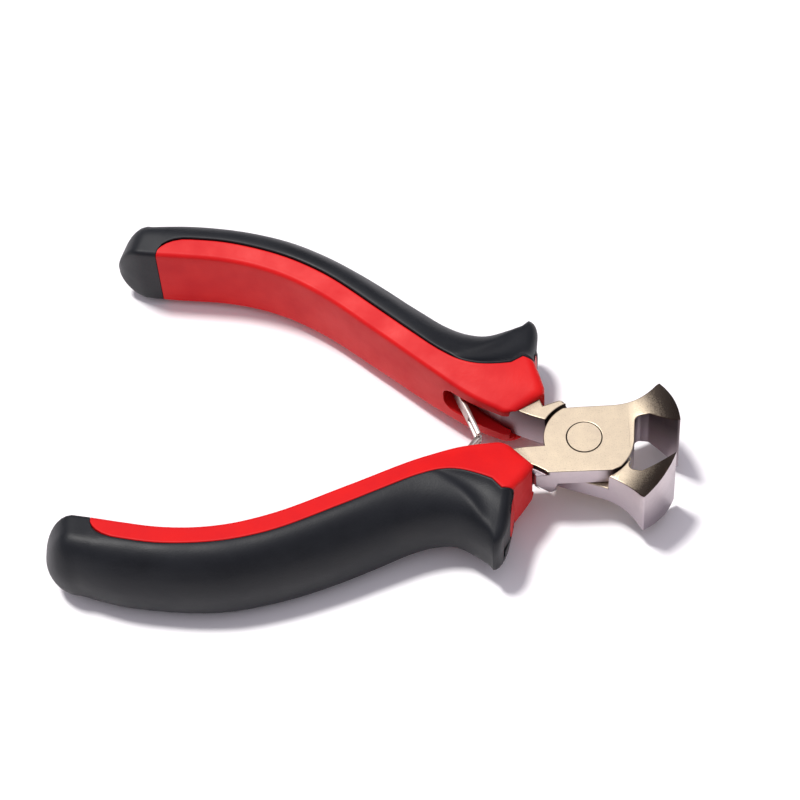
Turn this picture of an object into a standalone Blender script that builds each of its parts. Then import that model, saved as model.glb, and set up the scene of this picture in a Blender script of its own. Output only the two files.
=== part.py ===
"""Mini end cutter, 4.5 inch: two plated levers in a lap joint, a double leaf spring, two-tone grips.

Everything is drawn in millimetres in the pivot's frame with the jaws closed: the pivot is the Z axis,
the jaws point to +X and Z = 0 is the plane where the two levers lap. Each lever then turns by
REST_ANGLE about the pivot, to where its spring holds it.
"""

import math

import bmesh
import bpy
import numpy as np
from mathutils import Matrix, Vector

MM = 0.001

# Driving dimensions, in millimetres and degrees
REST_ANGLE = 10.7  # each lever, from closed to the springs' free position
PIVOT = (37.292, 0.0, 9.679)  # the pivot in the part's frame, which has its origin under the middle
LAP_GAP = 0.10  # each lap face, from the lap plane
EDGE_GAP = 0.10  # each cutting edge, from the closing plane

JOINT_HALF = 4.14  # half thickness of the joint
TANG_HALF = 2.7
TANG_END = -78
JAW_REACH = 16.8  # radius of the round nose, about the pivot
FLARE_START = 7.8
FLARE_RADIUS = 12.7
DISC_REAR = 7.15  # lap disc towards the handles
DISC_FRONT = 8.8  # lap disc towards the jaws
LAP_CLEARANCE = 0.3
STEP_CLEARANCE = 0.55  # of the lap step behind the disc
STEP_LEANING = 2.0  # the end of the lap step leans back by this much in 12 mm
PLATE_NEAR = -7.1
PLATE_FAR = 6.4
NOTCH_FLOOR = 3.0  # height of the notch beside the plate's diagonal edge
# Sloping walls of the shoulder: heading, distance near the lap and at the face, start and end along the wall
SQUARE_WEDGE = (-90, 6.95, 5.95, -12.5, -3.5)
ANGLED_WEDGE = (-129.5, 10.8, 8.7, -4.4, 3.0)

RIVET_RADIUS = 2.3
RIVET_HEAD = 3.05
RIVET_SINK = 0.8
RUNNING_FIT = 0.06

LEAF_THICK = 0.7
LEAF_WIDE = 4.0
LEAF_ROOT = (-26.2, 5.3)
LEAF_ANGLE = -48.5  # from +X, in the far lever's closed frame
LEAF_LENGTHS = {"a": 12.4, "b": 12.0}
TONGUE_WIDE = 1.3
FORK_WIDE = 2.0
FORK_DEEP = 5.0
FOOT_REAR = -36.0
FOOT_FRONT = -27.1
PIN_RADIUS = 0.9

OVERMOULD = 1.7  # thickness of the soft layer
CORE_REACH = 4.5  # most that the hard core passes the seam
STEP_LEAN = 0.25  # the step at the seam leans outwards
SEAM_GAP = 0.15
CORE_GAP = 0.3
CREASE = 0.9
EQUATOR = -2.4
WRAP_X = -86.4  # where the soft layer closes round the hard sleeve
SEAM_BEND = -81.5  # where the seam leaves the shoulder line for the wrap
FRONT_X = -14.0
REAR_X = -89.6
REAR_ROUND = 5.7
CAP_CENTRE = (14.0, -3.5)  # (y, z) that the domed rear end draws in to
SLOT_HALF = 3.0
SLOT_END = -27.4
FRONT_ROUND = 2.1  # length of the rounded front ends
SLEEVE_DRAW = 1.4  # how far the sleeve's front edge is drawn in
TIP_DRAW = 1.3  # what the guard's outermost corner is drawn in beyond its rounding

# Plan curves of the far grip, (x, y), from rear to front
INNER = ((-94, 10.7), (-87, 12.1), (-81, 13.5), (-75, 14.75), (-68.5, 15.3), (-62, 14.9), (-55.5, 13.5),
         (-42, 8.6), (-28, 3.25), (-21.4, 1.2), (-17, 0.55), (FRONT_X, 0.35))
SHOULDER = ((-94, 14.0), (-88, 15.8), (-82, 17.1), (-75.5, 18.5), (-69, 19.0), (-62.8, 18.8), (-56.3, 17.7),
            (-42.7, 12.9), (-35.8, 10.2), (-29, 7.7), (-25.5, 6.95), (-22.5, 7.1), (-19.5, 8.1), (-16.6, 9.6),
            (FRONT_X, 11.2))
OUTER = ((-96, 18.4), (-92, 20.2), (-88.6, 21.5), (-82.6, 23.7), (-76.5, 24.9), (-70, 25.7), (-64, 25.8),
         (-57.5, 24.9), (-50.8, 23.3), (-44, 21.2), (-37.3, 18.7), (-30.5, 16.3), (-26.5, 15.7), (-23, 16.2),
         (-19.4, 18.6), (-16.8, 20.6), (FRONT_X, 21.5))
FRONT = ((0.35, -13.4), (5.9, -9.0), (11.2, -12.9), (21.5, -15.1))  # front edge, x against y
TANG_INNER = ((-7.2, 1.3), (-11, 1.4), (-14, 1.8), (-17.5, 2.6), (-21, 3.9), (-24, 5.3), (-28, 6.8),
              (-42, 11.6), (-53, 15.3), (-64, 17.4), (-72, 17.3), (TANG_END, 16.6))
TANG_OUTER = ((-10.9, 4.5), (-14, 5.8), (-21, 7.6), (-28, 10.2), (-42, 15.4), (-53, 19.2), (-64, 21.5),
              (-72, 21.4), (TANG_END, 20.4))

# The guard's fold in plan, and how deep its upper face is scooped inside the fold
FOLD = ((-27, 7.3), (-25.8, 7.8), (-23.4, 9.8), (-20, 13.6), (-17.7, 17.6), (FRONT_X, 20.4))
SCOOP = ((-27, 0), (-23, 0.55), (-19, 1.0), (FRONT_X, 1.2))

# Heights along the grip, z against x
CREASE_TOP = ((-94, 6.3), (-30, 6.45), (-18, 5.3), (FRONT_X, 4.95))
SEAM_TOP = ((-94, 6.5), (-82, 6.8), (-40, 7.0), (-24, 7.4), (FRONT_X, 7.1))
SEAM_LOW = ((-94, -8.8), (-50, -9.7), (-36, -9.0), (FRONT_X, -6.4))
CREASE_LOW = ((-94, -8.1), (-83, -8.6), (-52, -7.5), (FRONT_X, -5.6))
CREST = ((-84, 0.3), (-40, 0.45), (-30, 0.0), (FRONT_X, 0.0))
TOP_POWER = ((-40, 2.0), (-30, 2.3), (-22, 2.9), (FRONT_X, 3.4))
LOW_POWER = ((-94, 3.2), (-40, 3.6), (FRONT_X, 3.0))

# Ring divisions: band, corner and wall of the sleeve, which also set those of the soft layer
BAND, CORNER, WALL = 2, 3, 4
RING = 2 * BAND + 2 * CORNER + WALL
FINE = 40
FOLLOWING = 3  # points of the inner run that follow the seam at a rounded end
STATIONS = (-88.2, WRAP_X + 0.4, -85.2, -83.5, -81, -76, -70, -64, -58, -51, -44, -37, -31, -27, -24.5, -22,
            -19.6, FRONT_X - 3.2, FRONT_X)


# ---------------------------------------------------------------- helpers
def smooth(points, x):
    """Cubic through the points, which run along rising x."""
    px, py = (np.array(column, float) for column in zip(*sorted(points)))
    slope = np.gradient(py, px)
    i = int(np.clip(np.searchsorted(px, x) - 1, 0, len(px) - 2))
    width = px[i + 1] - px[i]
    t = (x - px[i]) / width
    ease = t * t * (3 - 2 * t)
    bend = width * t * (1 - t) * (slope[i] * (1 - t) - slope[i + 1] * t)
    return float(py[i] + (py[i + 1] - py[i]) * ease + bend)


def level(points, x):
    px, py = zip(*points)
    return float(np.interp(x, px, py))


def arc(centre, radius, start, end, steps):
    """Points of an arc, angles in degrees."""
    angles = [math.radians(start + (end - start) * i / steps) for i in range(steps + 1)]
    return [(centre[0] + radius * math.cos(a), centre[1] + radius * math.sin(a)) for a in angles]


def collection(name):
    found = bpy.data.collections.new(name)
    bpy.context.scene.collection.children.link(found)
    return found


def clear_scene():
    for obj in list(bpy.data.objects):
        bpy.data.objects.remove(obj, do_unlink=True)


def material(name, colour, roughness, metallic):
    made = bpy.data.materials.new(name)
    made.use_nodes = True
    shader = made.node_tree.nodes["Principled BSDF"]
    shader.inputs["Base Color"].default_value = (*colour, 1.0)
    shader.inputs["Roughness"].default_value = roughness
    shader.inputs["Metallic"].default_value = metallic
    made.diffuse_color = (*colour, 1.0)
    return made


def add_mesh(name, bm, home, look=None):
    """Object from a bmesh in millimetres."""
    bmesh.ops.scale(bm, vec=(MM, MM, MM), verts=bm.verts)
    bmesh.ops.recalc_face_normals(bm, faces=bm.faces)
    mesh = bpy.data.meshes.new(name)
    bm.to_mesh(mesh)
    bm.free()
    obj = bpy.data.objects.new(name, mesh)
    home.objects.link(obj)
    if look:
        mesh.materials.append(look)
        mesh.shade_smooth()
        mesh.set_sharp_from_angle(angle=math.radians(35))
    else:
        obj.hide_render = True
        obj.display_type = "WIRE"
    return obj


def prism(outline, low, high, turn=None):
    """A flat outline in XY pulled up from low to high, then turned."""
    bm = bmesh.new()
    base = bm.faces.new([bm.verts.new((x, y, low)) for x, y in outline])
    pulled = bmesh.ops.extrude_face_region(bm, geom=[base])["geom"]
    top = [item for item in pulled if isinstance(item, bmesh.types.BMVert)]
    bmesh.ops.translate(bm, verts=top, vec=(0, 0, high - low))
    if turn:
        bmesh.ops.transform(bm, matrix=turn, verts=bm.verts)
    return bm


def rod(radius, length, place):
    """A capped cylinder about the Z axis of place."""
    bm = bmesh.new()
    bmesh.ops.create_cone(
        bm, cap_ends=True, segments=24, radius1=radius, radius2=radius, depth=length, matrix=place
    )
    return bm


def cut(target, tool, operation="DIFFERENCE"):
    modifier = target.modifiers.new(tool.name, "BOOLEAN")
    modifier.operation = operation
    modifier.object = tool
    modifier.solver = "EXACT"


# ---------------------------------------------------------------- levers
def lever_outline():
    """Plan of the near lever: the tang is on the -Y side and the jaw on the +Y side."""
    tang_inner = [(x, -smooth(TANG_INNER, x)) for x in np.linspace(TANG_END, -9, 20)]
    tang_outer = [(x, -smooth(TANG_OUTER, x)) for x in np.linspace(-12.5, TANG_END, 18)]
    tail = arc((TANG_END, -18.6), 2.0, 260, 100, 6)
    rear_disc = arc((0, 0), DISC_REAR, 190.5, 118, 12)
    neck = arc((5.0, PLATE_FAR + 13.3), 13.3, 270, 308, 10)
    nose = arc((0, 0), JAW_REACH, 34.5, 0.35, 14)
    throat = arc((10.3, 2.6), 1.2, 90, 180, 5)
    front_disc = arc((0, 0), DISC_FRONT, -5, -47, 10)
    return (
        tang_inner
        + rear_disc
        + [(-1.0, PLATE_FAR)]
        + neck
        + nose
        + [(JAW_REACH, EDGE_GAP), (15.3, 1.1), (13.6, 2.4), (11.7, 3.8)]
        + throat
        + front_disc
        + [(4.4, PLATE_NEAR), (-8.9, PLATE_NEAR + 0.2), (-10.9, -4.5)]
        + tang_outer
        + tail
    )


def flare_outline():
    """Side profile, (x, z): slim tang, joint, and jaws that flare in a concave arc."""
    nose_angle = math.degrees(math.asin((JAW_REACH + 0.8 - FLARE_START) / FLARE_RADIUS))
    rise = arc((FLARE_START, JOINT_HALF + FLARE_RADIUS), FLARE_RADIUS, 270, 270 + nose_angle, 10)
    upper = [(-90, TANG_HALF), (-17, TANG_HALF), (-14, JOINT_HALF)] + rise
    return upper + [(x, -z) for x, z in reversed(upper)]


def notch_outline():
    """Plan of what is cut from the top of the shoulder, beside the plate's diagonal edge."""
    return [(-6.7, PLATE_NEAR - 0.4), (-6.7, PLATE_NEAR), (-7.2, -6.5), (-8.7, -5.5), (-11.2, -4.3), (-12, -8)]


def lap_cutter():
    """What the other lever's lap half sweeps, in the near lever's plan, with a leaning step."""
    front = arc((0, 0), DISC_FRONT + LAP_CLEARANCE, -62, 52, 24)
    rear = arc((0, 0), DISC_REAR + STEP_CLEARANCE, 176, 228, 12)
    outline = front + [(5.6, 12), (-7.7, 12)] + rear + [(-5.1, -5.8), (-4.65, -12), (4.3, -12)]
    bm = prism(outline, -12, LAP_GAP)
    for vert in bm.verts:
        if vert.co.z < 0 and vert.co.y < -5.75 and vert.co.x < 0:
            vert.co.x -= STEP_LEANING
    return bm


def shoulder_wedge(heading, high, low, start, end):
    """Cuts a wall that slopes inwards: its distance from the pivot falls from high, near the lap, to low."""
    top, bottom, floor = -0.4, -JOINT_HALF, -6.0
    lowest = high - (high - low) * (top - floor) / (top - bottom)
    bm = prism([(high, top), (12, top), (12, floor), (lowest, floor)], start, end)
    turn = math.radians(heading)
    out, along = Vector((math.cos(turn), math.sin(turn), 0)), Vector((-math.sin(turn), math.cos(turn), 0))
    axes = Matrix((out, (0, 0, 1), along)).transposed().to_4x4()
    bmesh.ops.transform(bm, matrix=axes, verts=bm.verts)
    return bm


def rivet_profile(grow):
    head = RIVET_HEAD + grow
    shank = RIVET_RADIUS + grow
    face = JOINT_HALF + (0 if grow == 0 else 1)
    neck = JOINT_HALF - RIVET_SINK
    return [(0, face), (head, face), (head, JOINT_HALF - 0.15), (shank, neck - grow)] + [
        (shank, grow - neck), (head, 0.15 - JOINT_HALF), (head, -face), (0, -face)
    ]


def turned(name, profile, home, look=None):
    """A profile, (radius, z), turned about Z."""
    bm = bmesh.new()
    line = [bm.verts.new((r, 0, z)) for r, z in profile]
    for first, second in zip(line, line[1:]):
        bm.edges.new((first, second))
    obj = add_mesh(name, bm, home, look)
    screw = obj.modifiers.new("turn", "SCREW")
    screw.steps = 64
    screw.render_steps = 64
    screw.use_merge_vertices = True
    screw.merge_threshold = 0.00001
    return obj


def build_lever(side, looks, parts, cutters):
    """The far lever is the near one turned over about the X axis."""
    over = Matrix.Rotation(math.pi, 4, "X") if side == "b" else Matrix.Identity(4)
    lever = add_mesh("lever_" + side, prism(lever_outline(), -9, 9, over), parts, looks["steel"])
    upright = over @ Matrix.Rotation(math.pi / 2, 4, "X")
    flare = add_mesh("flare_" + side, prism(flare_outline(), -30, 30, upright), cutters)
    bore = turned("bore_" + side, rivet_profile(RUNNING_FIT), cutters)
    cut(lever, flare, "INTERSECT")
    cut(lever, bore)
    tools = [flare, bore]
    for name, bm in (
        ("lap_", lap_cutter()),
        ("square_wedge_", shoulder_wedge(*SQUARE_WEDGE)),
        ("angled_wedge_", shoulder_wedge(*ANGLED_WEDGE)),
        ("notch_", prism(notch_outline(), NOTCH_FLOOR, 9)),
    ):
        bmesh.ops.transform(bm, matrix=over, verts=bm.verts)
        tool = add_mesh(name + side, bm, cutters)
        cut(lever, tool)
        tools.append(tool)
    return lever, tools


# ---------------------------------------------------------------- springs
def foot_line(x):
    """Where the spring's foot lies against the far lever's tang."""
    return smooth(TANG_INNER, x) - 0.2 - LEAF_THICK / 2


def foot_outline():
    xs = np.linspace(FOOT_REAR, FOOT_FRONT, 5)
    half = LEAF_THICK / 2
    return [(x, foot_line(x) + half) for x in xs] + [(x, foot_line(x) - half) for x in reversed(xs)]


def pin_place(offset):
    """The rivet of the spring's foot, square to the tang."""
    x = -32.0
    slope = (foot_line(x + 1) - foot_line(x - 1)) / 2
    across = Vector((-slope, 1, 0)).normalized()
    centre = Vector((x, foot_line(x), 0)) + across * offset
    return Matrix.Translation(centre) @ across.to_track_quat("Z", "Y").to_matrix().to_4x4()


def build_foot(side, mirror, looks, parts, cutters):
    half = LEAF_WIDE / 2
    foot = add_mesh("leaf_foot_" + side, prism(foot_outline(), -half, half, mirror), parts, looks["spring"])
    pin = rod(PIN_RADIUS, 3.2, mirror @ pin_place(1.0))
    rivet = add_mesh("spring_rivet_" + side, pin, parts, looks["spring"])
    hole = add_mesh("pin_hole_" + side, rod(PIN_RADIUS + 0.1, 3.7, mirror @ pin_place(0.95)), cutters)
    cut(foot, hole)
    return foot, rivet, hole


def leaf_outline(length, curl):
    """Edge view of a working arm, root at the origin and lying along +X, with a round root."""
    half = LEAF_THICK / 2
    root = arc((0, 0), half, 270, 90, 6)
    tip = arc((length - curl, 0), curl, 130 if curl > half else 90, -90, 8)
    return root + [(length * 0.6, half + 0.12)] + tip + [(length * 0.6, 0.12 - half)]


def build_leaf(side, mirror, looks, parts, cutters):
    """Arm a ends in a tongue that passes through the fork at the end of arm b."""
    length = LEAF_LENGTHS[side]
    half = LEAF_WIDE / 2
    curl = 0.5 if side == "a" else LEAF_THICK / 2
    body = prism(leaf_outline(length, curl), -half, half, mirror)
    leaf = add_mesh("leaf_spring_" + side, body, parts, looks["spring"])
    notch_low = TONGUE_WIDE / 2 if side == "a" else -FORK_WIDE / 2
    notch_high = half + 1 if side == "a" else FORK_WIDE / 2
    box = [(length - FORK_DEEP, -3), (length + 3, -3), (length + 3, 3), (length - FORK_DEEP, 3)]
    notch = add_mesh("fork_" + side, prism(box, notch_low, notch_high, mirror), cutters)
    cut(leaf, notch)
    tools = [notch]
    if side == "a":
        lower = add_mesh("fork_low_a", prism(box, -notch_high, -notch_low, mirror), cutters)
        cut(leaf, lower)
        tools.append(lower)
    return leaf, tools


# ---------------------------------------------------------------- grips
def seam_line(x, shift):
    """The seam in plan, moved by shift towards the outside, rounding into the crease at the wrap."""
    if x >= SEAM_BEND:
        return smooth(SHOULDER, x) + shift
    reach = min(1.0, (SEAM_BEND - x) / (SEAM_BEND - WRAP_X))
    low = smooth(INNER, x) + CREASE + 0.1
    return low + (smooth(SHOULDER, x) - low) * math.sqrt(1 - reach * reach) + shift * (1 + 3 * reach * reach)


def half_profile(x, sign):
    """Upper (sign 1) or lower outline, (y, z), from the crease's edge to the equator."""
    inner, shoulder, outer = (smooth(curve, x) for curve in (INNER, SHOULDER, OUTER))
    crease = level(CREASE_TOP if sign > 0 else CREASE_LOW, x)
    top = level(SEAM_TOP if sign > 0 else SEAM_LOW, x)
    power = level(TOP_POWER if sign > 0 else LOW_POWER, x)
    crest = level(CREST, x) if sign > 0 else 0
    fold = smooth(FOLD, x) if x > FOLD[0][0] else 0
    scoop = level(SCOOP, x)
    points = [(inner + CREASE, crease), ((inner + CREASE + shoulder) / 2, (crease + top) / 2)]
    for i in range(FINE + 1):
        turn = math.pi / 2 * i / FINE
        y = shoulder + (outer - shoulder) * math.sin(turn) ** (2 / power)
        z = EQUATOR + (top - EQUATOR) * math.cos(turn) ** (2 / power)
        along = min(1.0, (y - shoulder) / min(5.0, 0.85 * (outer - shoulder)))
        z += crest * math.sin(math.pi * along)
        if sign > 0 and fold > shoulder:
            inside = float(np.clip((y - shoulder) / (fold - shoulder), 0, 1))
            z -= 4 * scoop * inside * (1 - inside)
        points.append((y, z))
    return np.array(points)


def stretch(points, start, end, steps):
    """Evenly spaced points of a line between two of its distances."""
    run = np.concatenate([[0], np.cumsum(np.hypot(*np.diff(points, axis=0).T))])
    ends = [run[-1] if at is None else np.interp(at, points[:, 0], run) for at in (start, end)]
    at = np.linspace(*ends, steps + 1)
    return [(float(np.interp(d, run, points[:, 0])), float(np.interp(d, run, points[:, 1]))) for d in at]


def skin_points(x, shift):
    """The hard sleeve's outside, (y, z), from the lower seam round the inner wall to the upper seam."""
    seam = seam_line(x, shift)
    edge = smooth(INNER, x) + CREASE
    halves = []
    for sign in (-1, 1):
        crease = level(CREASE_TOP if sign > 0 else CREASE_LOW, x)
        corner = arc((edge, crease - sign * CREASE), CREASE, 180 * sign, 90 * sign, CORNER)
        halves.append(corner + stretch(half_profile(x, sign), edge, seam, BAND)[1:])
    low, high = halves[0][0], halves[1][0]
    wall = [(low[0], low[1] + (high[1] - low[1]) * i / WALL) for i in range(1, WALL)]
    return halves[0][::-1] + wall + halves[1]


def shell_points(x, shift):
    """The soft layer's outside, from the upper seam round the outer side to the lower seam."""
    seam = seam_line(x, shift)
    upper, lower = (stretch(half_profile(x, sign), seam, None, RING // 2) for sign in (1, -1))
    return upper + lower[::-1][1:]


def quadrant(seam, outer, top, power, steps):
    """From the seam to the equator, (y, z), on a superellipse."""
    turns = [math.pi / 2 * i / steps for i in range(steps + 1)]
    return [
        (
            seam + (outer - seam) * math.sin(turn) ** (2 / power),
            EQUATOR + (top - EQUATOR) * math.cos(turn) ** (2 / power),
        )
        for turn in turns
    ]


def core_points(x, shift, gap):
    """The face between sleeve and soft layer, from the upper seam to the lower one."""
    seam = seam_line(x, shift)
    skin = skin_points(x, shift)
    grown = float(np.clip((x - WRAP_X) / 4, 0, 1))
    full = min(smooth(OUTER, x) - OVERMOULD - seam, CORE_REACH)
    outer = seam + max(0.6, full * grown) - gap
    steps = RING // 2 - 1
    depth = OVERMOULD + gap
    upper = quadrant(seam + STEP_LEAN, outer, skin[-1][1] - depth, 2.3, steps)
    lower = quadrant(seam + STEP_LEAN, outer, skin[0][1] + depth, 2.6, steps)
    return [skin[-1]] + upper + lower[::-1][1:] + [skin[0]]


def place(points, x):
    """Station points in space: towards the front the stations lean onto the pointed front edge."""
    edges = (smooth(INNER, x), seam_line(x, 0), smooth(OUTER, x))
    lean = np.clip((x + 27) / (FRONT_X + 27), 0, 1) ** 2
    front_y = [y for y, _ in FRONT]
    front_x = [value for _, value in FRONT]
    placed = []
    for y, z in points:
        across = np.interp(y, edges, (front_y[0], front_y[2], front_y[3]))
        placed.append((x + lean * (np.interp(across, front_y, front_x) - FRONT_X), y, z))
    return placed


def sleeve_rings():
    xs = [x for x in STATIONS if x >= WRAP_X]
    rings = [ring_of(skin_points(x, -SEAM_GAP / 2), core_points(x, -SEAM_GAP / 2, CORE_GAP), x) for x in xs]
    front = rings.pop()
    return rings + nose_rings(front, 0, [SLEEVE_DRAW / FRONT_ROUND] * (RING + 1))


def cap_ring(rear, turn):
    """A ring of the domed rear end, which falls back faster above and below than at its sides."""
    across, above, below = (math.cos(turn) ** power for power in (0.85, 1.5, 1.8))
    middle, height = CAP_CENTRE
    ring = []
    for x, y, z in rear:
        drawn = height + (z - height) * (above if z > height else below)
        ring.append((x - REAR_ROUND * math.sin(turn), middle + (y - middle) * across, drawn))
    return ring


def overmould_rings():
    rear = ring_of(skin_points(REAR_X, 0), shell_points(REAR_X, 0), REAR_X)
    rings = [cap_ring(rear, math.radians(turn)) for turn in (82, 68, 50, 30)] + [rear]
    for x in [x for x in STATIONS if x < WRAP_X] + [WRAP_X]:
        shift = SEAM_GAP / 2 if x == WRAP_X else 0
        rings.append(ring_of(skin_points(x, shift), shell_points(x, shift), x))
    for x in [WRAP_X] + [x for x in STATIONS if x > WRAP_X]:
        core = core_points(x, SEAM_GAP / 2, 0)
        rings.append(ring_of(core[::-1], shell_points(x, SEAM_GAP / 2), x))
    front = rings.pop()
    seam, tip = SLEEVE_DRAW / FRONT_ROUND, TIP_DRAW / FRONT_ROUND
    bow = [abs(math.sin(math.pi * i / RING)) for i in range(RING + 1)]
    shares = [seam + (1 - seam) * out**0.5 + tip * out**8 for out in bow]
    return rings + nose_rings(front, RING, shares)


def ring_of(first, second, x):
    """One closed ring: the two runs share their end points."""
    return place(first + second[1:-1], x)


def moved(ring, distance):
    return [(x + distance, y, z) for x, y, z in ring]


def pulls(ring, first, shares):
    """How each point of a ring is drawn in at a rounded end.

    The outer run starts at index first. The inner run follows it near the seams, and less away from them.
    """
    outer = [(first + i) % (2 * RING) for i in range(RING + 1)]
    result = [Vector((0, 0, 0))] * (2 * RING)
    for i, index in enumerate(outer):
        if i in (0, RING):
            inwards = Vector((0, 0, -1 if ring[index][2] > EQUATOR else 1))
        else:
            before, after = ring[outer[i - 1]], ring[outer[i + 1]]
            along = Vector((0, after[1] - before[1], after[2] - before[2])).normalized()
            inwards = Vector((0, along.z, -along.y))
        result[index] = shares[i] * inwards
    for i in range(1, RING):
        near = outer[-1] if i < RING / 2 else outer[0]
        fade = max(0.0, 1 - min(i, RING - i) / FOLLOWING)
        result[(first + RING + i) % (2 * RING)] = result[near] * fade
    return result


def nose_rings(ring, first, shares, steps=3):
    """A quarter-round end: the ring steps forwards as it draws in."""
    base = moved(ring, -FRONT_ROUND)
    inwards = pulls(ring, first, shares)
    rings = []
    for i in range(steps + 1):
        turn = math.pi / 2 * i / steps
        depth = FRONT_ROUND * (1 - math.cos(turn))
        drawn = [tuple(Vector(point) + depth * pull) for point, pull in zip(base, inwards)]
        rings.append(moved(drawn, FRONT_ROUND * math.sin(turn)))
    return rings


def loft(rings, close_rear, close_front):
    """Quads between the rings, which all have the same number of points, and a face strip at each end."""
    bm = bmesh.new()
    rows = [[bm.verts.new(point) for point in ring] for ring in rings]
    for row, following in zip(rows, rows[1:]):
        for i in range(len(row)):
            j = (i + 1) % len(row)
            bm.faces.new((row[i], row[j], following[j], following[i]))
    close_rear(bm, rows[0])
    close_front(bm, rows[-1])
    bmesh.ops.remove_doubles(bm, verts=bm.verts, dist=0.001)
    return bm


def close_strip(bm, row, pairs):
    for (a, b), (c, d) in zip(pairs, pairs[1:]):
        corners = [row[a], row[c], row[d], row[b]]
        bm.faces.new([v for n, v in enumerate(corners) if v not in corners[:n]])


def close_across(bm, row):
    """Joins upper points to lower ones. The wall's points lie on one line, so one face takes them all."""
    count = len(row)
    wall_end = BAND + CORNER + WALL + 1
    bm.faces.new(row[RING - wall_end : wall_end + 1])
    close_strip(bm, row, [(i, (RING - i) % count) for i in range(wall_end, RING + RING // 2 + 1)])


def close_around(bm, row):
    """Joins the outside of the soft layer to its inside."""
    count = len(row)
    close_strip(bm, row, [(i % count, (2 * RING - i) % count) for i in range(RING, 2 * RING + 1)])


def build_grip(side, mirror, looks, parts, cutters):
    sleeve_mesh = loft(sleeve_rings(), close_across, close_across)
    shell_mesh = loft(overmould_rings(), close_across, close_around)
    for bm in (sleeve_mesh, shell_mesh):
        bmesh.ops.transform(bm, matrix=mirror, verts=bm.verts)
    sleeve = add_mesh("sleeve_" + side, sleeve_mesh, parts, looks["sleeve"])
    shell = add_mesh("overmould_" + side, shell_mesh, parts, looks["overmould"])
    tools = []
    for name, outline, half in (
        ("tang_room_", tang_room(0.15), JOINT_HALF + 0.15),
        ("slot_", slot_outline(), SLOT_HALF),
    ):
        tool = add_mesh(name + side, prism(outline, -half, half, mirror), cutters)
        cut(sleeve, tool)
        tools.append(tool)
    return sleeve, shell, tools


def tang_room(grow):
    """The tang's plan grown a little, with room for the shoulder's corner in front."""
    xs = np.linspace(TANG_END - 2 - grow, -12.5, 20)
    inner = [(x, smooth(TANG_INNER, max(x, TANG_END)) - grow) for x in xs]
    outer = [(x, smooth(TANG_OUTER, max(x, TANG_END)) + grow) for x in xs]
    return inner + [(-6, 1.0), (-6, 7.15), (-9.05, 7.15), (-11.15, 4.8)] + outer[::-1]


def slot_outline():
    """The slot that the spring swings in, and the pocket of the spring's foot behind it."""
    pocket_end = FOOT_REAR - 0.4
    deep = [(x, smooth(TANG_INNER, x) + 0.6) for x in np.linspace(-9, pocket_end, 14)]
    shallow = [(x, foot_line(x) - LEAF_THICK / 2 - 0.3) for x in np.linspace(pocket_end, SLOT_END, 4)]
    return [(SLOT_END, -2), (-9, -2)] + deep + shallow


# ---------------------------------------------------------------- assembly
def body_empty(name, location, angle, parent=None):
    empty = bpy.data.objects.new(name, None)
    bpy.context.scene.collection.objects.link(empty)
    empty.empty_display_size = 5 * MM
    empty.location = Vector(location) * MM
    empty.rotation_euler = (0, 0, math.radians(angle))
    empty.parent = parent
    return empty


def build():
    clear_scene()
    parts = collection("mini_end_cutter")
    cutters = collection("cutters")
    looks = {
        "steel": material("plated_steel", (0.74, 0.66, 0.54), 0.32, 1.0),
        "spring": material("spring_steel", (0.70, 0.66, 0.62), 0.3, 1.0),
        "sleeve": material("red_sleeve", (0.80, 0.03, 0.02), 0.42, 0.0),
        "overmould": material("black_overmould", (0.022, 0.024, 0.028), 0.5, 0.0),
    }
    for side, sign in (("a", -1), ("b", 1)):
        mirror = Matrix.Diagonal((1, sign, 1, 1))
        body = body_empty("body_" + side, PIVOT, -sign * REST_ANGLE)
        lever, lever_tools = build_lever(side, looks, parts, cutters)
        foot, rivet, hole = build_foot(side, mirror, looks, parts, cutters)
        sleeve, shell, grip_tools = build_grip(side, mirror, looks, parts, cutters)
        cut(lever, hole)
        for obj in (lever, foot, rivet, hole, sleeve, shell, *lever_tools, *grip_tools):
            obj.parent = body
        root = (LEAF_ROOT[0], sign * LEAF_ROOT[1], 0)
        arm = body_empty("arm_" + side, root, sign * LEAF_ANGLE, body)
        leaf, leaf_tools = build_leaf(side, mirror, looks, parts, cutters)
        for obj in (leaf, *leaf_tools):
            obj.parent = arm
    rivet = turned("pivot_rivet", rivet_profile(0), parts, looks["steel"])
    rivet.location = Vector(PIVOT) * MM


build()
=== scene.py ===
"""Looks of the mini end cutter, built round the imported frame.

Shapes are drawn in millimetres in the pivot's frame with the jaws closed, as the part itself is: the
pivot is the Z axis, the jaws point to +X and Z = 0 is the plane where the two levers lap.
"""

import math

import bmesh
import bpy
import numpy as np
from mathutils import Matrix, Vector

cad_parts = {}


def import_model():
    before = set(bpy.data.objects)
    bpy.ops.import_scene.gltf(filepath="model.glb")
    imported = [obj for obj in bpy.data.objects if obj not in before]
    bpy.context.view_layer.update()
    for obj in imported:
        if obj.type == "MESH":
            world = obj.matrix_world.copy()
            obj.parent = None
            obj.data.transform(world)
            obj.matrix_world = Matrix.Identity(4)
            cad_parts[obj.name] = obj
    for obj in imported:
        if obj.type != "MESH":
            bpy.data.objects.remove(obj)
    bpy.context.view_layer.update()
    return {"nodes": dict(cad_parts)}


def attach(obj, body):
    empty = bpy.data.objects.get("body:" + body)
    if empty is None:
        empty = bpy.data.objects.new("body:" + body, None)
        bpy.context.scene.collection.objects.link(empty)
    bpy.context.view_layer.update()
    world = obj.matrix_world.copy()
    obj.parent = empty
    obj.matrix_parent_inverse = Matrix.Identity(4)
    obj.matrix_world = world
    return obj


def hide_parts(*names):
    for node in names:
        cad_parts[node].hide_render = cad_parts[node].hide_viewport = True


MM = 0.001

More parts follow.
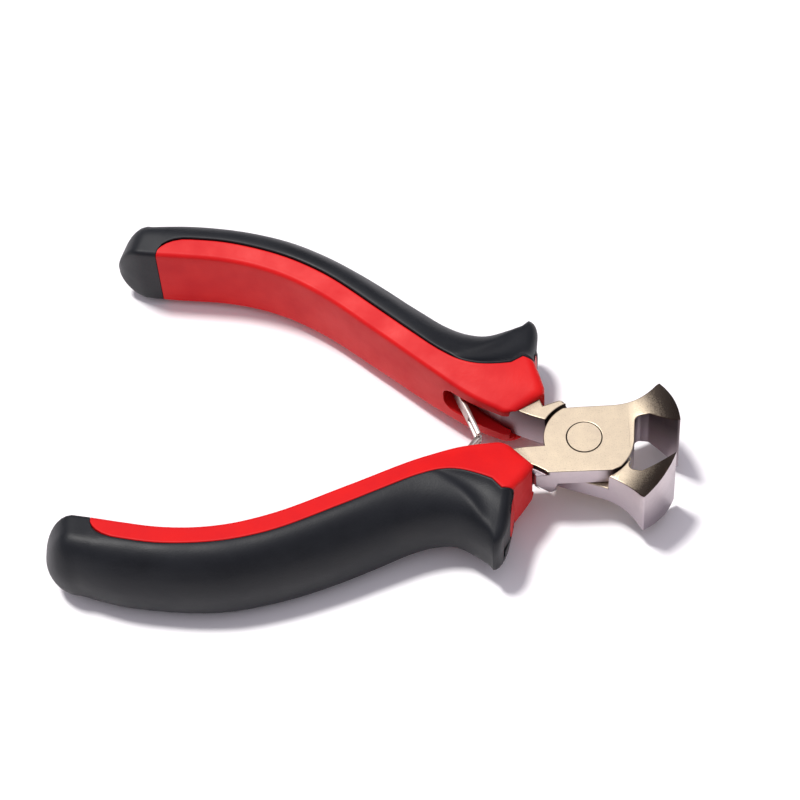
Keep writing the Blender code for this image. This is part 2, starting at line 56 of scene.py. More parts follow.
REST_ANGLE = 10.7  # each lever, from closed to the springs' free position
PIVOT = (37.292, 0.0, 9.679)  # in the frame
LAP_GAP = 0.10  # each lap face, from the lap plane
EDGE_GAP = 0.10  # each cutting edge, from the middle

JOINT_HALF = 4.14  # half thickness of the joint
TANG_HALF = 2.7
TANG_END = -78
JAW_REACH = 16.8  # radius of the round nose, about the pivot
FLARE_START = 7.8
FLARE_RADIUS = 12.7
DISC_REAR = 7.15  # lap disc towards the handles
DISC_FRONT = 8.8  # lap disc towards the jaws
LAP_CLEARANCE = 0.3
STEP_CLEARANCE = 0.55  # of the lap step behind the disc
STEP_LEANING = 2.0  # the end of the lap step leans back by this much in 12 mm
PLATE_NEAR = -7.1
PLATE_FAR = 6.4
NOTCH_FLOOR = 3.0  # height of the notch's floor above the lap plane
STEEL_EDGE = 0.2  # rounding of the levers' edges
SHORTEST_EDGE = 0.08  # corners nearer than this are one corner before the edges are rounded
SHARP_ANGLE = 38  # faces that meet at more than this many degrees keep a sharp edge

# Sloping walls of the shoulder: heading in degrees, distance from the pivot near the lap and at the
# face, and start and end along the wall
SQUARE_WEDGE = (-90, 6.95, 5.95, -12.5, -3.5)
ANGLED_WEDGE = (-129.5, 10.8, 8.7, -4.4, 3.0)

RIVET_RADIUS = 2.3
RIVET_HEAD = 3.05
RIVET_SINK = 0.8  # depth of its countersinks
RUNNING_FIT = 0.06

LEAF_THICK = 0.7
LEAF_WIDE = 4.0
LEAF_ROOT = (-26.2, 5.3)
LEAF_ANGLE = -48.5
LEAF_LENGTHS = {"a": 12.4, "b": 12.0}
TONGUE_WIDE = 1.3
FORK_WIDE = 2.0
FORK_DEEP = 5.0
LEAF_EDGE = 0.08  # rounding of the springs' edges

OVERMOULD = 1.7  # thickness of the soft layer
CORE_REACH = 4.5  # how far the sleeve goes in under the soft layer, at most
STEP_LEAN = 0.25
SEAM_GAP = 0.15
CORE_GAP = 0.3
CREASE = 0.9  # rounding of the sleeve's inner edges
EQUATOR = -2.4  # height where the grip is widest
WRAP_X = -86.4  # the soft layer wraps right round behind this
SEAM_BEND = -81.5  # the seam curves inwards behind this
FRONT_X = -14.0
REAR_X = -89.6
REAR_ROUND = 5.7
SLOT_HALF = 3.0
SLOT_END = -27.4
SLOT_ROUND = 2.2

SEAM_ROUND = 0.22  # edges at the seam
LIP = 0.16  # height of the soft layer's rim beside the seam
LIP_WIDE = 1.3
FRONT_ROUND = 2.1  # length of the rounded front ends
SLEEVE_DRAW = 1.4  # how far the sleeve's front edge is drawn in
TIP_DRAW = 1.3  # what the guard's outermost corner is drawn in beyond its rounding
CAP_CENTRE = (14.0, -3.5)  # (y, z) that the domed rear end closes on
ROOM_GAP = 0.15  # between the tang and the sleeve
WRAP_STEPS = (0.4, 1.2)  # stations just in front of where the seam wraps round

# Plan curves of the far grip, (x, y), from rear to front
INNER = ((-94, 10.7), (-87, 12.1), (-81, 13.5), (-75, 14.75), (-68.5, 15.3), (-62, 14.9), (-55.5, 13.5),
         (-42, 8.6), (-28, 3.25), (-21.4, 1.2), (-17, 0.55), (FRONT_X, 0.35))
SHOULDER = ((-94, 14.0), (-88, 15.8), (-82, 17.1), (-75.5, 18.5), (-69, 19.0), (-62.8, 18.8), (-56.3, 17.7),
            (-42.7, 12.9), (-35.8, 10.2), (-29, 7.7), (-25.5, 6.95), (-22.5, 7.1), (-19.5, 8.1), (-16.6, 9.6),
            (FRONT_X, 11.2))
OUTER = ((-96, 18.4), (-92, 20.2), (-88.6, 21.5), (-82.6, 23.7), (-76.5, 24.9), (-70, 25.7), (-64, 25.8),
         (-57.5, 24.9), (-50.8, 23.3), (-44, 21.2), (-37.3, 18.7), (-30.5, 16.3), (-26.5, 15.7), (-23, 16.2),
         (-19.4, 18.6), (-16.8, 20.6), (FRONT_X, 21.5))
FRONT = ((0.35, -13.4), (5.9, -9.0), (11.2, -12.9), (21.5, -15.1))
TANG_INNER = ((-7.2, 1.3), (-11, 1.4), (-14, 1.8), (-17.5, 2.6), (-21, 3.9), (-24, 5.3), (-28, 6.8),
              (-42, 11.6), (-53, 15.3), (-64, 17.4), (-72, 17.3), (TANG_END, 16.6))
TANG_OUTER = ((-10.9, 4.5), (-14, 5.8), (-21, 7.6), (-28, 10.2), (-42, 15.4), (-53, 19.2), (-64, 21.5),
              (-72, 21.4), (TANG_END, 20.4))

# The guard's fold in plan, and how deep its upper face is scooped inside the fold
FOLD = ((-27, 7.3), (-25.8, 7.8), (-23.4, 9.8), (-20, 13.6), (-17.7, 17.6), (FRONT_X, 20.4))
SCOOP = ((-27, 0), (-23, 0.55), (-19, 1.0), (FRONT_X, 1.2))

# Heights along the grip, z against x
CREASE_TOP = ((-94, 6.3), (-30, 6.45), (-18, 5.3), (FRONT_X, 4.95))
SEAM_TOP = ((-94, 6.5), (-82, 6.8), (-40, 7.0), (-24, 7.4), (FRONT_X, 7.1))
SEAM_LOW = ((-94, -8.8), (-50, -9.7), (-36, -9.0), (FRONT_X, -6.4))
CREASE_LOW = ((-94, -8.1), (-83, -8.6), (-52, -7.5), (FRONT_X, -5.6))
CREST = ((-84, 0.3), (-40, 0.45), (-30, 0.0), (FRONT_X, 0.0))
TOP_POWER = ((-40, 2.0), (-30, 2.3), (-22, 2.9), (FRONT_X, 3.4))
LOW_POWER = ((-94, 3.2), (-40, 3.6), (FRONT_X, 3.0))

# Points on each part of a ring: the flat beside the seam, a rounded edge and the inner wall
BAND, CORNER, WALL = 12, 6, 16
RING = 2 * BAND + 2 * CORNER + WALL
FINE = 160
STRAIGHT = 4  # points beside each seam that are drawn straight up or down at a rounded end
FOLLOWING = 7  # points of the inner run that follow the seam at a rounded end
RIM_STEPS = (0.0, 0.05, 0.12, 0.22, 0.4, 0.7, 1.1, 1.6)

CAMERA_TARGET = (-33.9, 6.24, 0.0)
CAMERA_AZIMUTH = 13.01
CAMERA_ELEVATION = 56.67
CAMERA_ROLL = -4.9
CAMERA_DISTANCE = 520.3
CAMERA_LENS = 130.77
SENSOR_WIDTH = 36

FLOOR_HALF = 1.5  # metres
SUN_FROM = (-0.30, 0.14, 1.0)
SUN_STRENGTH = 2.9
SUN_WIDTH = 9  # degrees
SUN_COLOUR = (1.0, 0.985, 0.96)
SKY_STRENGTH = 0.8
SKY_TINT = (1.0, 0.96, 1.06)
SKY_STOPS = ((0.12, 0.03), (0.5, 0.42), (0.85, 1.0))  # (height, brightness), from below to overhead

NICKEL = ((0.565, 0.475, 0.35), (0.495, 0.415, 0.312))
NICKEL_SPECK = (0.30, 0.25, 0.20)
# painted dark reflection for the flares towards the jaws' nose
FLARE_PAINTED_REFLECTION = (0.055, 0.042, 0.036)
# painted shade and painted floor reflection for the steel's steep walls, darker again at their foot
OUTER_WALL_PAINTED_SHADE = ((0.55, 0.48, 0.49), (0.47, 0.41, 0.43))
OUTER_WALL_FOOT_PAINTED_SHADE = (0.33, 0.28, 0.31)
# painted shade where the levers face each other, lighter at the bottom than at the top
FACING_WALL_PAINTED_SHADE = ((0.38, 0.31, 0.34), (0.10, 0.078, 0.084))  # at the bottom and at the top
# painted shade for the lap step's wall behind the disc, and for the notch's walls
STEP_PAINTED_SHADE = (0.045, 0.033, 0.03)
# painted shade for the notch's floor
NOTCH_PAINTED_SHADE = (0.20, 0.165, 0.18)
SPRING_STEEL = ((0.52, 0.485, 0.45), (0.38, 0.35, 0.33))
RED = ((0.66, 0.010, 0.010), (0.58, 0.007, 0.010))
BLACK = ((0.0055, 0.0065, 0.009), (0.009, 0.0105, 0.014))
DUST = (0.04, 0.04, 0.042)
TABLE = (0.92, 0.905, 0.925, 1.0)


# ---------------------------------------------------------------- curves
def smooth(points, x):
    """Cubic through the points, which run along rising x."""
    px, py = (np.array(column, float) for column in zip(*sorted(points)))
    slope = np.gradient(py, px)
    i = int(np.clip(np.searchsorted(px, x) - 1, 0, len(px) - 2))
    width = px[i + 1] - px[i]
    t = (x - px[i]) / width
    ease = t * t * (3 - 2 * t)
    bend = width * t * (1 - t) * (slope[i] * (1 - t) - slope[i + 1] * t)
    return float(py[i] + (py[i + 1] - py[i]) * ease + bend)


def level(points, x):
    """The heights' line, with its corners eased over a few millimetres."""
    px, py = zip(*points)
    reach = np.linspace(-2.5, 2.5, 11)
    return float(np.mean(np.interp(x + reach, px, py)))


def arc(centre, radius, start, end, steps):
    angles = [math.radians(start + (end - start) * i / steps) for i in range(steps + 1)]
    return [(centre[0] + radius * math.cos(a), centre[1] + radius * math.sin(a)) for a in angles]


# ---------------------------------------------------------------- meshes
def in_world(side):
    """From the closed pose in millimetres to the frame, each lever turned to its spring's free position."""
    turn = REST_ANGLE if side == "a" else -REST_ANGLE
    return (
        Matrix.Translation(Vector(PIVOT) * MM)
        @ Matrix.Rotation(math.radians(turn), 4, "Z")
        @ Matrix.Scale(MM, 4)
    )


def new_object(name, bm):
    bmesh.ops.recalc_face_normals(bm, faces=bm.faces)
    mesh = bpy.data.meshes.new(name)
    bm.to_mesh(mesh)
    bm.free()
    obj = bpy.data.objects.new(name, mesh)
    bpy.context.scene.collection.objects.link(obj)
    return obj


def apply_modifiers(obj):
    graph = bpy.context.evaluated_depsgraph_get()
    mesh = bpy.data.meshes.new_from_object(obj.evaluated_get(graph))
    obj.modifiers.clear()
    obj.data = mesh


def cut(target, tool, operation="DIFFERENCE"):
    modifier = target.modifiers.new("cut", "BOOLEAN")
    modifier.operation = operation
    modifier.object = tool
    modifier.solver = "EXACT"
    apply_modifiers(target)
    bpy.data.objects.remove(tool)


def prism(outline, low, high, turn=None):
    bm = bmesh.new()
    base = bm.faces.new([bm.verts.new((x, y, low)) for x, y in outline])
    pulled = bmesh.ops.extrude_face_region(bm, geom=[base])["geom"]
    top = [item for item in pulled if isinstance(item, bmesh.types.BMVert)]
    bmesh.ops.translate(bm, verts=top, vec=(0, 0, high - low))
    if turn:
        bmesh.ops.transform(bm, matrix=turn, verts=bm.verts)
    return bm


def lathe(profile, steps=96):
    """A closed solid from (radius, z) pairs that start and end on the axis."""
    bm = bmesh.new()
    ends = [bm.verts.new((0, 0, profile[0][1])), bm.verts.new((0, 0, profile[-1][1]))]
    rings = []
    for r, z in profile[1:-1]:
        turns = [2 * math.pi * i / steps for i in range(steps)]
        rings.append([bm.verts.new((r * math.cos(a), r * math.sin(a), z)) for a in turns])
    for first, second in zip(rings, rings[1:]):
        for i in range(steps):
            j = (i + 1) % steps
            bm.faces.new((first[i], first[j], second[j], second[i]))
    for i in range(steps):
        j = (i + 1) % steps
        bm.faces.new((rings[0][j], rings[0][i], ends[0]))
        bm.faces.new((rings[-1][i], rings[-1][j], ends[1]))
    return bm


def tidy_mesh(obj, distance):
    bm = bmesh.new()
    bm.from_mesh(obj.data)
    bmesh.ops.remove_doubles(bm, verts=bm.verts, dist=distance)
    bmesh.ops.dissolve_limit(bm, angle_limit=math.radians(0.5), verts=bm.verts, edges=bm.edges)
    bm.to_mesh(obj.data)
    bm.free()


def soften_edges(obj, width, segments=3, angle=28):
    bevel = obj.modifiers.new("edges", "BEVEL")
    bevel.width = width
    bevel.segments = segments
    bevel.limit_method = "ANGLE"
    bevel.angle_limit = math.radians(angle)
    bevel.use_clamp_overlap = False
    apply_modifiers(obj)


def keep_faces_flat(obj):
    """Large faces are shaded flat, right up to their softened edges."""
    weighted = obj.modifiers.new("flat faces", "WEIGHTED_NORMAL")
    weighted.weight = 100
    weighted.keep_sharp = True
    apply_modifiers(obj)


def finish_piece(obj, world, look, body, slot, *nodes):
    """Places a piece, gives it its material, ties it to its body and hides the nodes it stands for."""
    obj.data.transform(world)
    obj.data.materials.clear()
    obj.data.materials.append(look)
    obj.data.shade_smooth()
    obj.data.set_sharp_from_angle(angle=math.radians(SHARP_ANGLE))
    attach(obj, body)
    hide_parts(*nodes)
    return obj


# ---------------------------------------------------------------- levers
def lever_outline():
    tang_inner = [(x, -smooth(TANG_INNER, x)) for x in np.linspace(TANG_END, -9, 50)]
    tang_outer = [(x, -smooth(TANG_OUTER, x)) for x in np.linspace(-12.5, TANG_END, 50)]
    tail = arc((TANG_END, -18.6), 2.0, 260, 100, 10)
    rear_disc = arc((0, 0), DISC_REAR, 190.5, 118, 28)
    neck = arc((5.0, PLATE_FAR + 13.3), 13.3, 270, 308, 20)
    nose = arc((0, 0), JAW_REACH, 34.5, 0.35, 28)
    throat = arc((10.3, 2.6), 1.2, 90, 180, 10)
    front_disc = arc((0, 0), DISC_FRONT, -5, -47, 22)
    return (
        tang_inner
        + rear_disc
        + [(-1.0, PLATE_FAR)]
        + neck
        + nose
        + [(JAW_REACH, EDGE_GAP), (15.3, 1.1), (13.6, 2.4), (11.7, 3.8)]
        + throat
        + front_disc
        + [(4.4, PLATE_NEAR), (-8.9, PLATE_NEAR + 0.2), (-10.9, -4.5)]
        + tang_outer
        + tail
    )


def flare_outline():
    nose_angle = math.degrees(math.asin((JAW_REACH + 0.8 - FLARE_START) / FLARE_RADIUS))
    rise = arc((FLARE_START, JOINT_HALF + FLARE_RADIUS), FLARE_RADIUS, 270, 270 + nose_angle, 28)
    upper = [(-90, TANG_HALF), (-17, TANG_HALF), (-14, JOINT_HALF)] + rise
    return upper + [(x, -z) for x, z in reversed(upper)]


def notch_outline():
    """Plan of what is cut from the top of the shoulder, beside the plate's diagonal edge."""
    edge = [(-6.7, PLATE_NEAR), (-7.2, -6.5), (-8.7, -5.5), (-11.2, -4.3)]
    return [(-6.7, PLATE_NEAR - 0.4)] + edge + [(-12, -8)]


def lap_cutter():
    """What the other lever's lap half sweeps, in the near lever's plan, with a leaning step."""
    front = arc((0, 0), DISC_FRONT + LAP_CLEARANCE, -62, 52, 50)
    rear = arc((0, 0), DISC_REAR + STEP_CLEARANCE, 176, 228, 28)
    outline = front + [(5.6, 12), (-7.7, 12)] + rear + [(-5.1, -5.8), (-4.65, -12), (4.3, -12)]
    bm = prism(outline, -12, LAP_GAP)
    for vert in bm.verts:
        if vert.co.z < 0 and vert.co.y < -5.75 and vert.co.x < 0:
            vert.co.x -= STEP_LEANING
    return bm


def shoulder_wedge(heading, high, low, start, end):
    """Cuts a wall that slopes inwards: its distance from the pivot falls from high, near the lap, to low."""
    top, bottom, floor = -0.4, -JOINT_HALF, -6.0
    lowest = high - (high - low) * (top - floor) / (top - bottom)
    bm = prism([(high, top), (12, top), (12, floor), (lowest, floor)], start, end)
    turn = math.radians(heading)
    out = Vector((math.cos(turn), math.sin(turn), 0))
    along = Vector((-math.sin(turn), math.cos(turn), 0))
    axes = Matrix((out, (0, 0, 1), along)).transposed().to_4x4()
    bmesh.ops.transform(bm, matrix=axes, verts=bm.verts)
    return bm


def rivet_profile(grow, rounding=0.0):
    head = RIVET_HEAD + grow
    shank = RIVET_RADIUS + grow
    face = JOINT_HALF + (0 if grow == 0 else 1)
    neck = JOINT_HALF - RIVET_SINK
    half = [(0, face), (head - rounding, face), (head, face - rounding), (head, JOINT_HALF - 0.15)]
    if rounding == 0:
        half.pop(2)
    half.append((shank, neck - grow))
    return half + [(r, -z) for r, z in reversed(half)]


def build_lever(side, look):
    over = Matrix.Rotation(math.pi, 4, "X") if side == "b" else Matrix.Identity(4)
    lever = new_object("lever_forging_" + side, prism(lever_outline(), -9, 9, over))
    upright = over @ Matrix.Rotation(math.pi / 2, 4, "X")
    cut(lever, new_object("flare", prism(flare_outline(), -30, 30, upright)), "INTERSECT")
    for bm in (lap_cutter(), shoulder_wedge(*SQUARE_WEDGE), shoulder_wedge(*ANGLED_WEDGE)):
        bmesh.ops.transform(bm, matrix=over, verts=bm.verts)
        cut(lever, new_object("tool", bm))
    cut(lever, new_object("bore", lathe(rivet_profile(RUNNING_FIT))))
    cut(lever, new_object("notch", prism(notch_outline(), NOTCH_FLOOR, 9, over)))
    tidy_mesh(lever, SHORTEST_EDGE)
    soften_edges(lever, STEEL_EDGE)
    finish_piece(lever, in_world(side), look, f"lever_{side}_body", "plated_steel", "lever_" + side)
    keep_faces_flat(lever)


# ---------------------------------------------------------------- springs
def leaf_outline(length, curl):
    half = LEAF_THICK / 2
    root = arc((0, 0), half, 270, 90, 10)
    tip = arc((length - curl, 0), curl, 130 if curl > half else 90, -90, 16)
    return root + [(length * 0.6, half + 0.12)] + tip + [(length * 0.6, 0.12 - half)]


def build_leaf(side, look):
    sign = -1 if side == "a" else 1
    mirror = Matrix.Diagonal((1, sign, 1, 1))
    length = LEAF_LENGTHS[side]
    half = LEAF_WIDE / 2
    curl = 0.5 if side == "a" else LEAF_THICK / 2
    leaf = new_object("leaf_arm_piece_" + side, prism(leaf_outline(length, curl), -half, half, mirror))
    box = [(length - FORK_DEEP, -3), (length + 3, -3), (length + 3, 3), (length - FORK_DEEP, 3)]
    if side == "a":
        cut(leaf, new_object("notch", prism(box, TONGUE_WIDE / 2, half + 1, mirror)))
        cut(leaf, new_object("notch", prism(box, -half - 1, -TONGUE_WIDE / 2, mirror)))
    else:
        cut(leaf, new_object("notch", prism(box, -FORK_WIDE / 2, FORK_WIDE / 2, mirror)))
    soften_edges(leaf, LEAF_EDGE, 2, 50)
    root = Matrix.Translation((LEAF_ROOT[0], sign * LEAF_ROOT[1], 0))
    turn = Matrix.Rotation(math.radians(sign * LEAF_ANGLE), 4, "Z")
    world = in_world(side) @ root @ turn
    return finish_piece(leaf, world, look, "leaf_arm_" + side, "spring_steel", "leaf_spring_" + side)


# ---------------------------------------------------------------- grips
def seam_line(x, shift):
    if x >= SEAM_BEND:
        return smooth(SHOULDER, x) + shift
    reach = min(1.0, (SEAM_BEND - x) / (SEAM_BEND - WRAP_X))
    low = smooth(INNER, x) + CREASE + 0.1
    bulge = (smooth(SHOULDER, x) - low) * math.sqrt(1 - reach * reach)
    return low + bulge + shift * (1 + 3 * reach * reach)


def half_profile(x, sign):
    """Upper (sign 1) or lower outline, (y, z), from the crease's edge to the equator."""
    inner, shoulder, outer = (smooth(curve, x) for curve in (INNER, SHOULDER, OUTER))
    crease = level(CREASE_TOP if sign > 0 else CREASE_LOW, x)
    top = level(SEAM_TOP if sign > 0 else SEAM_LOW, x)
    power = level(TOP_POWER if sign > 0 else LOW_POWER, x)
    crest = level(CREST, x) if sign > 0 else 0
    fold = smooth(FOLD, x) if x > FOLD[0][0] else 0
    scoop = level(SCOOP, x)
    points = [(inner + CREASE, crease), ((inner + CREASE + shoulder) / 2, (crease + top) / 2)]
    for i in range(FINE + 1):
        turn = math.pi / 2 * i / FINE
        y = shoulder + (outer - shoulder) * math.sin(turn) ** (2 / power)
        z = EQUATOR + (top - EQUATOR) * math.cos(turn) ** (2 / power)
        along = min(1.0, (y - shoulder) / min(5.0, 0.85 * (outer - shoulder)))
        z += crest * math.sin(math.pi * along)
        if sign > 0 and fold > shoulder:
            inside = float(np.clip((y - shoulder) / (fold - shoulder), 0, 1))
            z -= 4 * scoop * inside * (1 - inside)
        points.append((y, z))
    return np.array(points)


def run_of(points):
    return np.concatenate([[0], np.cumsum(np.hypot(*np.diff(points, axis=0).T))])


def sample(points, run, distances, offsets):
    """Points at distances along a line, each pushed off to its left by an offset."""
    result = []
    for d, offset in zip(distances, offsets):
        y, z = np.interp(d, run, points[:, 0]), np.interp(d, run, points[:, 1])
        ahead, behind = min(d + 0.05, run[-1]), max(d - 0.05, 0)
        dy = np.interp(ahead, run, points[:, 0]) - np.interp(behind, run, points[:, 0])
        dz = np.interp(ahead, run, points[:, 1]) - np.interp(behind, run, points[:, 1])
        size = math.hypot(dy, dz) or 1.0
        result.append((float(y - offset * dz / size), float(z + offset * dy / size)))
    return result


def edge_drop(distance, radius):
    """How far a rounded edge falls below its surface at a distance from its corner."""
    if distance >= radius or radius == 0:
        return 0.0
    return radius - math.sqrt(radius**2 - (radius - distance) ** 2)


def skin_points(x, shift, rounding=SEAM_ROUND):
    seam = seam_line(x, shift)
    edge = smooth(INNER, x) + CREASE
    halves = []
    for sign in (-1, 1):
        crease = level(CREASE_TOP if sign > 0 else CREASE_LOW, x)
        corner = arc((edge, crease - sign * CREASE), CREASE, 180 * sign, 90 * sign, CORNER)
        line = half_profile(x, sign)
        run = run_of(line)
        start, end = (np.interp(at, line[:, 0], run) for at in (edge, seam))
        width = end - start
        away = [width * (1 - i / BAND) ** 2 for i in range(1, BAND + 1)]
        drops = [-sign * edge_drop(d, rounding) for d in away]
        halves.append(corner + sample(line, run, [end - d for d in away], drops))
    low, high = halves[0][0], halves[1][0]
    wall = [(low[0], low[1] + (high[1] - low[1]) * i / WALL) for i in range(1, WALL)]
    return halves[0][::-1] + wall + halves[1]


def shell_points(x, shift):
    seam = seam_line(x, shift)
    fade = float(np.clip((x - WRAP_X) / 3, 0, 1))
    halves = []
    for sign in (1, -1):
        line = half_profile(x, sign)
        run = run_of(line)
        start = np.interp(seam, line[:, 0], run)
        rest = np.linspace(RIM_STEPS[-1], run[-1] - start, RING // 2 - len(RIM_STEPS) + 2)[1:]
        away = list(RIM_STEPS) + list(rest)
        offsets = []
        for d in away:
            lip = LIP if sign > 0 else 0
            raised = lip * math.exp(-((d / LIP_WIDE) ** 2)) - edge_drop(d, SEAM_ROUND + 0.1)
            offsets.append(sign * raised * fade)
        halves.append(sample(line, run, [start + d for d in away], offsets))
    upper, lower = halves
    return upper + lower[::-1][1:]


def quadrant(seam, outer, top, power, steps):
    turns = [math.pi / 2 * i / steps for i in range(steps + 1)]
    return [
        (
            seam + (outer - seam) * math.sin(turn) ** (2 / power),
            EQUATOR + (top - EQUATOR) * math.cos(turn) ** (2 / power),
        )
        for turn in turns
    ]


def core_points(x, shift, gap):
    seam = seam_line(x, shift)
    skin = skin_points(x, shift)
    grown = float(np.clip((x - WRAP_X) / 4, 0, 1))
    full = min(smooth(OUTER, x) - OVERMOULD - seam, CORE_REACH)
    outer = seam + max(0.6, full * grown) - gap
    steps = RING // 2 - 1
    depth = OVERMOULD + gap - SEAM_ROUND
    upper = quadrant(seam + STEP_LEAN, outer, skin[-1][1] - depth, 2.3, steps)
    lower = quadrant(seam + STEP_LEAN, outer, skin[0][1] + depth, 2.6, steps)
    return [skin[-1]] + upper + lower[::-1][1:] + [skin[0]]


def place(points, x):
    edges = (smooth(INNER, x), seam_line(x, 0), smooth(OUTER, x))
    lean = np.clip((x + 27) / (FRONT_X + 27), 0, 1) ** 2
    front_y = [y for y, _ in FRONT]
    front_x = [value for _, value in FRONT]
    placed = []
    for y, z in points:
        across = np.interp(y, edges, (front_y[0], front_y[2], front_y[3]))
        placed.append((x + lean * (np.interp(across, front_y, front_x) - FRONT_X), y, z))
    return placed


def ring_of(first, second, x):
    return place(first + second[1:-1], x)


def moved(ring, distance):
    return [(x + distance, y, z) for x, y, z in ring]


def pulls(ring, first, shares):
    """How each point of a ring is drawn in at a rounded end.

    The outer run starts at index first. The inner run follows it near the seams, and less away from them.
    """
    outer = [(first + i) % (2 * RING) for i in range(RING + 1)]
    result = [Vector((0, 0, 0))] * (2 * RING)
    for i, index in enumerate(outer):
        if min(i, RING - i) <= STRAIGHT:
            inwards = Vector((0, 0, -1 if ring[index][2] > EQUATOR else 1))
        else:
            before, after = ring[outer[i - 1]], ring[outer[i + 1]]
            along = Vector((0, after[1] - before[1], after[2] - before[2])).normalized()
            inwards = Vector((0, along.z, -along.y))
        result[index] = shares[i] * inwards
    for i in range(1, RING):
        near = outer[-1] if i < RING / 2 else outer[0]
        fade = max(0.0, 1 - min(i, RING - i) / FOLLOWING)
        result[(first + RING + i) % (2 * RING)] = result[near] * fade
    return result


def nose_rings(ring, first, shares, steps=6):
    """A quarter-round end: the ring steps forwards as it draws in."""
    base = moved(ring, -FRONT_ROUND)
    inwards = pulls(ring, first, shares)
    rings = []
    for i in range(steps + 1):
        turn = math.pi / 2 * i / steps
        depth = FRONT_ROUND * (1 - math.cos(turn))
        drawn = [tuple(Vector(point) + depth * pull) for point, pull in zip(base, inwards)]
        rings.append(moved(drawn, FRONT_ROUND * math.sin(turn)))
    return rings


def stations(start):
    end = FRONT_X - 3.2
    coarse = np.arange(start, -30, 1.5)
    return list(coarse) + list(np.arange(coarse[-1] + 0.8, end - 0.3, 0.8)) + [end]


def sleeve_rings():
    shift = -SEAM_GAP / 2
    rings = [
        ring_of(skin_points(x, shift), core_points(x, shift, CORE_GAP), x)
        for x in [WRAP_X + 0.12, WRAP_X + 0.5, WRAP_X + 1.2] + stations(WRAP_X + 2.2)
    ]
    front = ring_of(skin_points(FRONT_X, shift), core_points(FRONT_X, shift, CORE_GAP), FRONT_X)
    return rings + nose_rings(front, 0, [SLEEVE_DRAW / FRONT_ROUND] * (RING + 1))


def cap_ring(rear, turn):
    """A ring of the domed rear end, which falls back faster above and below than at its sides."""
    across, above, below = (math.cos(turn) ** power for power in (0.85, 1.5, 1.8))
    middle, height = CAP_CENTRE
    ring = []
    for x, y, z in rear:
        drawn = height + (z - height) * (above if z > height else below)
        ring.append((x - REAR_ROUND * math.sin(turn), middle + (y - middle) * across, drawn))
    return ring


def overmould_rings():
    rear = ring_of(skin_points(REAR_X, 0, 0), shell_points(REAR_X, 0), REAR_X)
    rings = [cap_ring(rear, math.radians(turn)) for turn in (87, 82, 76, 70, 62, 54, 46, 38, 30, 20, 10)]
    rings.append(rear)
    for x in list(np.arange(REAR_X + 0.8, WRAP_X - 0.4, 0.8)) + [WRAP_X]:
        shift = SEAM_GAP / 2 if x == WRAP_X else 0
        rings.append(ring_of(skin_points(x, shift, 0), shell_points(x, shift), x))
    for x in [WRAP_X] + [WRAP_X + step for step in WRAP_STEPS] + stations(WRAP_X + 2.2):
        core = core_points(x, SEAM_GAP / 2, 0)
        rings.append(ring_of(core[::-1], shell_points(x, SEAM_GAP / 2), x))
    core = core_points(FRONT_X, SEAM_GAP / 2, 0)
    front = ring_of(core[::-1], shell_points(FRONT_X, SEAM_GAP / 2), FRONT_X)
    seam, tip = SLEEVE_DRAW / FRONT_ROUND, TIP_DRAW / FRONT_ROUND
    bow = [abs(math.sin(math.pi * i / RING)) for i in range(RING + 1)]
    shares = [seam + (1 - seam) * out**0.5 + tip * out**8 for out in bow]
    return rings + nose_rings(front, RING, shares)


def loft(rings, close_rear, close_front):
    bm = bmesh.new()
    rows = [[bm.verts.new(point) for point in ring] for ring in rings]
    for row, following in zip(rows, rows[1:]):
        for i in range(len(row)):
            j = (i + 1) % len(row)
            bm.faces.new((row[i], row[j], following[j], following[i]))
    close_rear(bm, rows[0])
    close_front(bm, rows[-1])
    bmesh.ops.remove_doubles(bm, verts=bm.verts, dist=0.001)
    return bm


def close_strip(bm, row, pairs):
    for (a, b), (c, d) in zip(pairs, pairs[1:]):
        corners = [row[a], row[c], row[d], row[b]]
        bm.faces.new([v for n, v in enumerate(corners) if v not in corners[:n]])


def close_across(bm, row):
    count = len(row)
    wall_end = BAND + CORNER + WALL + 1
    bm.faces.new(row[RING - wall_end : wall_end + 1])
    close_strip(bm, row, [(i, (RING - i) % count) for i in range(wall_end, RING + RING // 2 + 1)])


def close_around(bm, row):
    count = len(row)
    close_strip(bm, row, [(i % count, (2 * RING - i) % count) for i in range(RING, 2 * RING + 1)])


def tang_room(grow):
    xs = np.linspace(TANG_END - 2 - grow, -12.5, 40)
    inner = [(x, smooth(TANG_INNER, max(x, TANG_END)) - grow) for x in xs if x < FRONT_X]
    outer = [(x, smooth(TANG_OUTER, max(x, TANG_END)) + grow) for x in xs]
    return inner + [(FRONT_X, -2), (-6, -2), (-6, 7.15), (-9.05, 7.15), (-11.15, 4.8)] + outer[::-1]


def slot_plan():
    """The slot in plan, as deep as the tang's inner side."""
    end = SLOT_END - 1
    bottom = [(x, smooth(TANG_INNER, x) + 0.6) for x in np.linspace(-9, end, 30)]
    return [(end, -2), (-6, -2), (-6, bottom[0][1])] + bottom


def slot_side():
    """The slot seen from the handle's inner side, (x, z), with its rear end rounded."""
    low = arc((SLOT_END + SLOT_ROUND, SLOT_ROUND - SLOT_HALF), SLOT_ROUND, 270, 180, 8)
    high = arc((SLOT_END + SLOT_ROUND, SLOT_HALF - SLOT_ROUND), SLOT_ROUND, 180, 90, 8)
    return low + high + [(-5, SLOT_HALF), (-5, -SLOT_HALF)]


